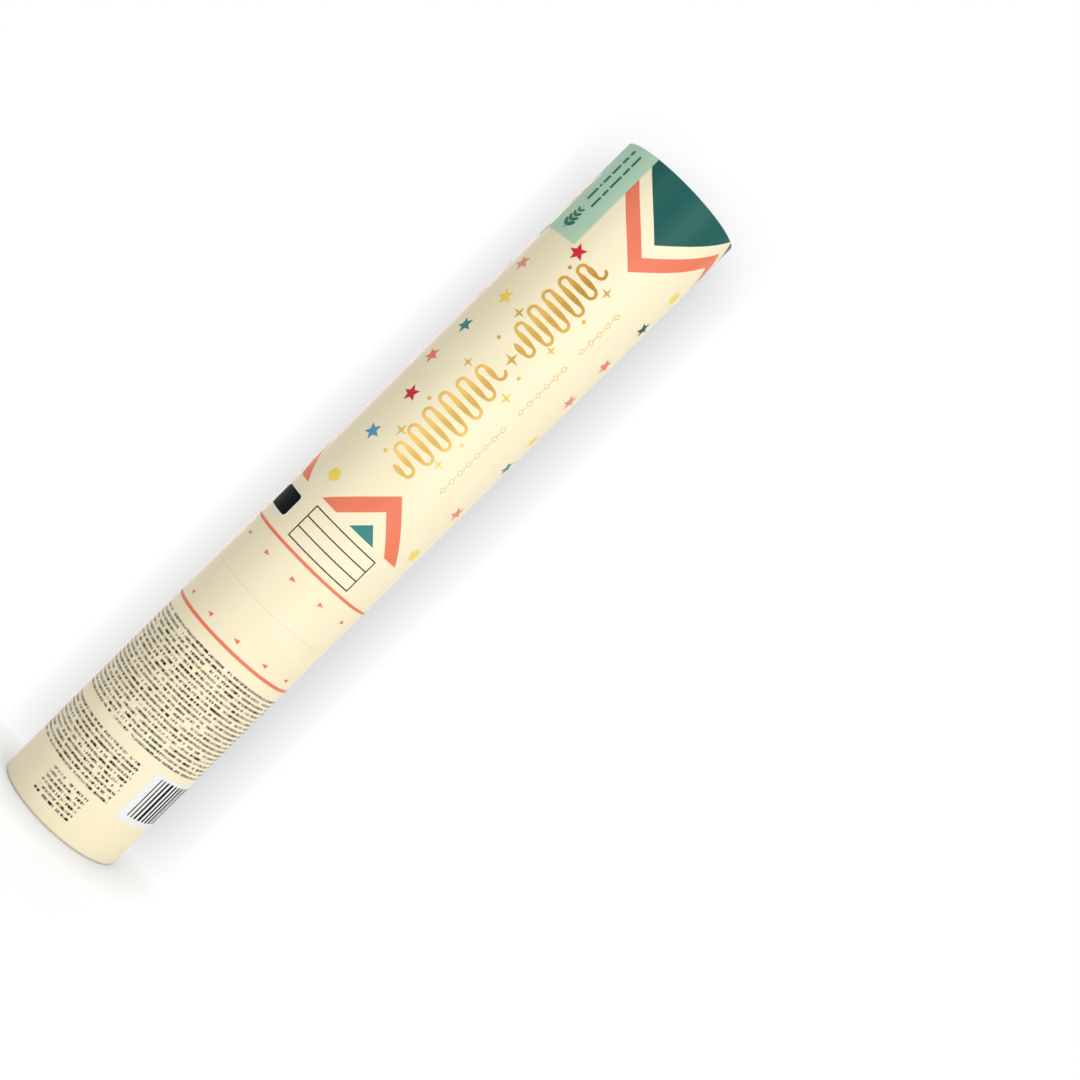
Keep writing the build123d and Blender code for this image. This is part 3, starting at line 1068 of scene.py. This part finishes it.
def makeFeltWad():
    size = feltWad
    low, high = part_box("wad")
    radius = high.x / metresPerMm - size["inset"]
    bm = bmesh.new()
    made = bmesh.ops.create_circle(bm, cap_ends=True, segments=size["sides"], radius=radius)
    bmesh.ops.translate(bm, vec=(0, 0, low.z / metresPerMm + size["inset"]), verts=made["verts"])
    grown = bmesh.ops.extrude_face_region(bm, geom=bm.faces[:])["geom"]
    rise = (high.z - low.z) / metresPerMm - 2 * size["inset"]
    bmesh.ops.translate(bm, vec=(0, 0, rise), verts=[g for g in grown if isinstance(g, bmesh.types.BMVert)])
    bmesh.ops.recalc_face_normals(bm, faces=bm.faces)
    rims = [e for e in bm.edges if e.calc_face_angle(0.0) > size["rimAngle"]]
    bmesh.ops.bevel(
        bm, geom=rims, offset=size["rim"], segments=size["rimSteps"], profile=0.5, affect="EDGES", material=-1
    )
    soften(bm)
    finishPiece("feltWad", bm, wadFelt, "wad", "wad_felt", ["wad"])


# Coiled spring, wound over the height of the solid spring it stands in for
springSizes = {
    "wire": 1.2, "coil": 11.0, "turns": 6, "sides": 12, "stepsPerTurn": 40, "gap": 0.05, "softAngle": 50.0,
}


def makeSpring():
    size = springSizes
    low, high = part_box("safety_spring")
    start = low.z / metresPerMm + size["wire"] / 2 + size["gap"]
    climb = (high.z - low.z) / metresPerMm - size["wire"] - 2 * size["gap"]
    steps = size["turns"] * size["stepsPerTurn"]
    bm = bmesh.new()
    made = bmesh.ops.create_circle(bm, cap_ends=False, segments=size["sides"], radius=size["wire"] / 2)
    bmesh.ops.rotate(bm, verts=made["verts"], cent=(0, 0, 0), matrix=Matrix.Rotation(math.pi / 2, 3, "X"))
    bmesh.ops.translate(bm, verts=made["verts"], vec=(size["coil"], 0, start))
    bmesh.ops.spin(
        bm, geom=bm.edges[:] + bm.verts[:], cent=(0, 0, 0), axis=(0, 0, 1), angle=2 * math.pi * size["turns"],
        steps=steps, dvec=(0, 0, climb / steps)
    )
    bmesh.ops.holes_fill(bm, edges=[e for e in bm.edges if e.is_boundary], sides=size["sides"])
    bmesh.ops.recalc_face_normals(bm, faces=bm.faces)
    soften(bm, size["softAngle"])
    piece = finishPiece("springCoil", bm, springMetal, "barrel", "spring_steel", ["safety_spring"])
    lift = next(j for j in frame["joints"] if j["name"] == "bottle_lift")["range_m"][1]
    keep = 1 - lift / (high.z - low.z)
    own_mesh(piece)


# Tissue stars, loosely stacked where each solid stack stands
tissueStack = {
    "points": 5,
    "reach": 10.0,
    "valley": 0.53,
    "tip": 1.5,
    "tipSteps": 2,
    "thickness": 0.42,
    "leaves": 30,
    "turn": 10.0,
    "shift": 0.22,
    "curl": 0.010,
    "leastCurl": 0.3,
    "foldDrift": 0.15,
    "rows": 3,
    "rowReach": 0.501,
    "seed": 5,
    "axisReach": 12.1,
    "flatReach": 5.0,
    "softAngle": 60.0,
}


def tissueLeaf():
    size = tissueStack
    bm = bmesh.new()
    made = bmesh.ops.create_circle(bm, cap_ends=True, segments=2 * size["points"], radius=size["reach"])
    rim = sorted(made["verts"], key=lambda v: math.atan2(v.co.y, v.co.x))
    tip = rim.index(max(rim, key=lambda v: v.co.x))
    tips = [rim[(tip + place) % len(rim)] for place in range(0, len(rim), 2)]
    valleys = [v for v in rim if v not in tips]
    bmesh.ops.scale(bm, vec=(size["valley"], size["valley"], 1), verts=valleys)
    lean = math.atan2(rim[tip].co.y, rim[tip].co.x)
    bmesh.ops.rotate(bm, verts=bm.verts, cent=(0, 0, 0), matrix=Matrix.Rotation(-lean, 3, "Z"))
    bmesh.ops.bevel(
        bm, geom=tips, offset=size["tip"], segments=size["tipSteps"], profile=0.5, affect="VERTICES", material=-1
    )
    bmesh.ops.poke(bm, faces=bm.faces[:])
    bmesh.ops.solidify(bm, geom=bm.faces[:], thickness=size["thickness"])
    bmesh.ops.recalc_face_normals(bm, faces=bm.faces)
    mesh = bpy.data.meshes.new("tissueLeaf")
    bm.to_mesh(mesh)
    bm.free()
    return mesh


def makeTissueStacks():
    size = tissueStack
    draw = random.Random(size["seed"])
    leaf = tissueLeaf()
    for name, finish in tissues.items():
        node = "confetti_" + name
        body = nodes[node]["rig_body"]
        low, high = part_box(node)
        rowHeight = (high.z - low.z) / size["rows"]
        bm = bmesh.new()
        for row in range(size["rows"]):
            floor = low.z + rowHeight * row
            middle = floor + rowHeight / 2
            reach = rowHeight * size["rowReach"]
            inRow = [v.co for v in nodes[node].data.vertices if abs(v.co.z - middle) < reach]
            spot = [sum(c[axis] for c in inRow) / len(inRow) for axis in (0, 1)]
            heading = math.atan2(spot[1], spot[0])
            centre = Vector((math.cos(heading), math.sin(heading), 0)) * size["axisReach"]
            fold = draw.uniform(0, math.pi)
            pitch = rowHeight / metresPerMm / size["leaves"]
            for place in range(size["leaves"]):
                before = len(bm.verts)
                bm.from_mesh(leaf)
                verts = list(bm.verts)[before:]
                curl = size["curl"] * draw.uniform(size["leastCurl"], 1.0)
                sway = math.sin(math.pi * (place + 0.5) / size["leaves"]) * curl
                fold += draw.uniform(-size["foldDrift"], size["foldDrift"])
                for v in verts:
                    across = v.co.x * math.cos(fold) + v.co.y * math.sin(fold)
                    v.co.z += sway * (across * across - size["flatReach"] ** 2)
                turn = heading + math.radians(draw.uniform(-size["turn"], size["turn"]))
                bmesh.ops.rotate(bm, verts=verts, cent=(0, 0, 0), matrix=Matrix.Rotation(turn, 3, "Z"))
                shift = Vector((draw.uniform(-1, 1), draw.uniform(-1, 1), 0)) * size["shift"]
                height = floor / metresPerMm + pitch * (place + 0.5)
                bmesh.ops.translate(bm, verts=verts, vec=centre + shift + Vector((0, 0, height)))
        soften(bm, size["softAngle"])
        finishPiece("tissueStars" + name.title(), bm, finish, body, "tissue_" + name, [node])
    bpy.data.meshes.remove(leaf)


makeMouthCap()
makeFeltWad()
makeSpring()
makeTissueStacks()
print("cap, wad, spring and tissue stars made")


# Pieces that keep their solid shape get their finish
solidFinishes = {
    "barrel_tube": woundCard,
    "grip_tube": woundCard,
    "card_disc": woundCard,
    "twist_collar": whitePlastic,
    "base_plug": whitePlastic,
    "bottle_cradle": whitePlastic,
    "vent_plate": greyPlastic,
    "valve_poppet": greyPlastic,
    "cam_ring": greyPlastic,
    "retaining_ring": greyPlastic,
    "key_plate": greyPlastic,
    "firing_pin": pinMetal,
    "air_bottle": bottleMetal,
    "valve_cup": bottleMetal,
    "seat_gasket": sealRubber,
    "neck_seal": sealRubber,
}
for name, finish in solidFinishes.items():
    nodes[name].data.materials.clear()
    nodes[name].data.materials.append(finish)
print("solid pieces finished:", len(solidFinishes))


# Studio: pale floor, a pale sheet close behind the tube, soft lamps
studio = {
    "floorSize": 1.3,
    "floorDrop": 0.0001,
    "sheetGap": 0.003,
    "floorTone": 0.60,
    "floorLift": 0.46,
    "shadowReach": 0.026,
    "shadowTone": 0.40,
    "cornerRound": 0.010,
    "ambient": 0.42,
    "lamps": [
        {"name": "keyLamp", "place": (0.92, -0.92, 0.40), "width": 0.9, "height": 1.3, "power": 9.9},
        {"name": "fillLamp", "place": (-0.48, -1.18, 0.25), "width": 0.5, "height": 1.2, "power": 3.4},
        {"name": "topLamp", "place": (0.0, 0.05, 1.45), "width": 1.2, "height": 1.0, "power": 6.5},
        {"name": "backLamp", "place": (-0.25, 1.25, 0.45), "width": 1.0, "height": 1.2, "power": 8.5},
    ],
    "aim": (0.0, 0.0, 0.15),
}


def seenDirectly(thread):
    path = thread.node("LightPath", out="Is Camera Ray")
    return thread.node("Clamp", values={0: path + path.other("Is Glossy Ray") + path.other("Is Transmission Ray")})


# A painted soft shadow close to the popper, from ambient occlusion, which runs from the floor up the sheet without an
# edge
def paintedContactShadow(thread, pale):
    place = thread.node("SeparateXYZ", values={0: objectPlace(thread)})
    forward = (cadHigh.y + studio["sheetGap"] + studio["cornerRound"]) - place.other("Y")
    upward = place.other("Z") + studio["cornerRound"]
    lean = thread.node("CombineXYZ", values={1: upward * -1.0, 2: forward})
    facing = thread.node("VectorMath", {"operation": "NORMALIZE"}, {0: lean})
    clearance = thread.node(
        "AmbientOcclusion", values={"Distance": studio["shadowReach"], "Normal": facing}, out="AO"
    )
    dark = pale * studio["shadowTone"]
    return thread.mix(clearance, (dark, dark, dark, 1), (pale, pale, pale, 1))


def makeFloorFinish():
    finish, thread = startFinish("paleFloor")
    # The floor's colour and its glow carry the painted soft shadow near the popper
    matt = thread.node("BsdfDiffuse", values={"Color": paintedContactShadow(thread, studio["floorTone"])})
    strength = seenDirectly(thread) * studio["floorLift"]
    glow = thread.node("Emission", values={"Color": paintedContactShadow(thread, 1.0), "Strength": strength})
    thread.node("OutputMaterial", values={"Surface": thread.node("AddShader", values={0: matt, 1: glow})})
    return finish


# The sheet is clear from behind, so that it hides nothing in other views
def makeSheetFinish():
    finish, thread = startFinish("paleSheet")
    # The sheet glows white to the camera, with the painted soft shadow near the popper
    glow = thread.node("Emission", values={"Color": paintedContactShadow(thread, 1.0)})
    clear = thread.node("BsdfTransparent")
    behind = thread.node("NewGeometry", out="Backfacing")
    thread.node("OutputMaterial", values={"Surface": thread.node("MixShader", values={0: behind, 1: glow, 2: clear})})
    return finish


def makeSheet(name, finish, turned, place):
    bm = bmesh.new()
    half = studio["floorSize"] / 2
    bmesh.ops.create_grid(bm, x_segments=1, y_segments=1, size=half)
    if turned:
        bmesh.ops.rotate(bm, verts=bm.verts, cent=(0, 0, 0), matrix=Matrix.Rotation(math.pi / 2, 3, "X"))
    bmesh.ops.translate(bm, verts=bm.verts, vec=place)
    mesh = bpy.data.meshes.new(name)
    bm.to_mesh(mesh)
    bm.free()
    mesh.materials.append(finish)
    sheet = bpy.data.objects.new(name, mesh)
    scene.collection.objects.link(sheet)
    return sheet


def makeStudio():
    half = studio["floorSize"] / 2
    floor = makeSheet("floor", makeFloorFinish(), False, (0, 0, -studio["floorDrop"]))
    floor.visible_shadow = False
    behind = makeSheet("sheet", makeSheetFinish(), True, (0, cadHigh.y + studio["sheetGap"], half))
    behind.visible_diffuse = False
    behind.visible_glossy = False
    behind.visible_transmission = False
    behind.visible_shadow = False
    for lamp in studio["lamps"]:
        data = bpy.data.lights.new(lamp["name"], "AREA")
        data.shape = "RECTANGLE"
        data.size, data.size_y = lamp["width"], lamp["height"]
        data.energy = lamp["power"]
        made = bpy.data.objects.new(lamp["name"], data)
        made.location = lamp["place"]
        aim = Vector(studio["aim"]) - made.location
        made.rotation_euler = aim.to_track_quat("-Z", "Y").to_euler()
        scene.collection.objects.link(made)
    world = bpy.data.worlds.new("studioAir")
    world.use_nodes = True
    world.node_tree.nodes.clear()
    thread = Thread(world.node_tree)
    strength = seenDirectly(thread) * (1.0 - studio["ambient"]) + studio["ambient"]
    air = thread.node("Background", values={"Color": (1, 1, 1, 1), "Strength": strength})
    thread.node("OutputWorld", values={"Surface": air})
    scene.world = world


# The tube leans to the right in the picture, so the camera rolls and the tube stands
cameraSetup = {
    "distance": 0.64,
    "across": 0.0497,
    "height": 0.1828,
    "frameWidth": 0.3715,
    "lean": 45.14,
    "sensor": 36.0,
}


def makeCamera():
    size = cameraSetup
    data = bpy.data.cameras.new("camera")
    data.sensor_width = size["sensor"]
    data.lens = size["sensor"] * size["distance"] / size["frameWidth"]
    camera = bpy.data.objects.new("camera", data)
    lean = math.radians(size["lean"])
    right = Vector((math.cos(lean), 0, math.sin(lean)))
    up = Vector((-math.sin(lean), 0, math.cos(lean)))
    back = right.cross(up)
    turn = Matrix((right, up, back)).transposed().to_4x4()
    camera.matrix_world = Matrix.Translation((size["across"], -size["distance"], size["height"])) @ turn
    scene.collection.objects.link(camera)
    scene.camera = camera


makeStudio()
makeCamera()
scene.view_settings.view_transform = "Standard"
print("studio and camera set")
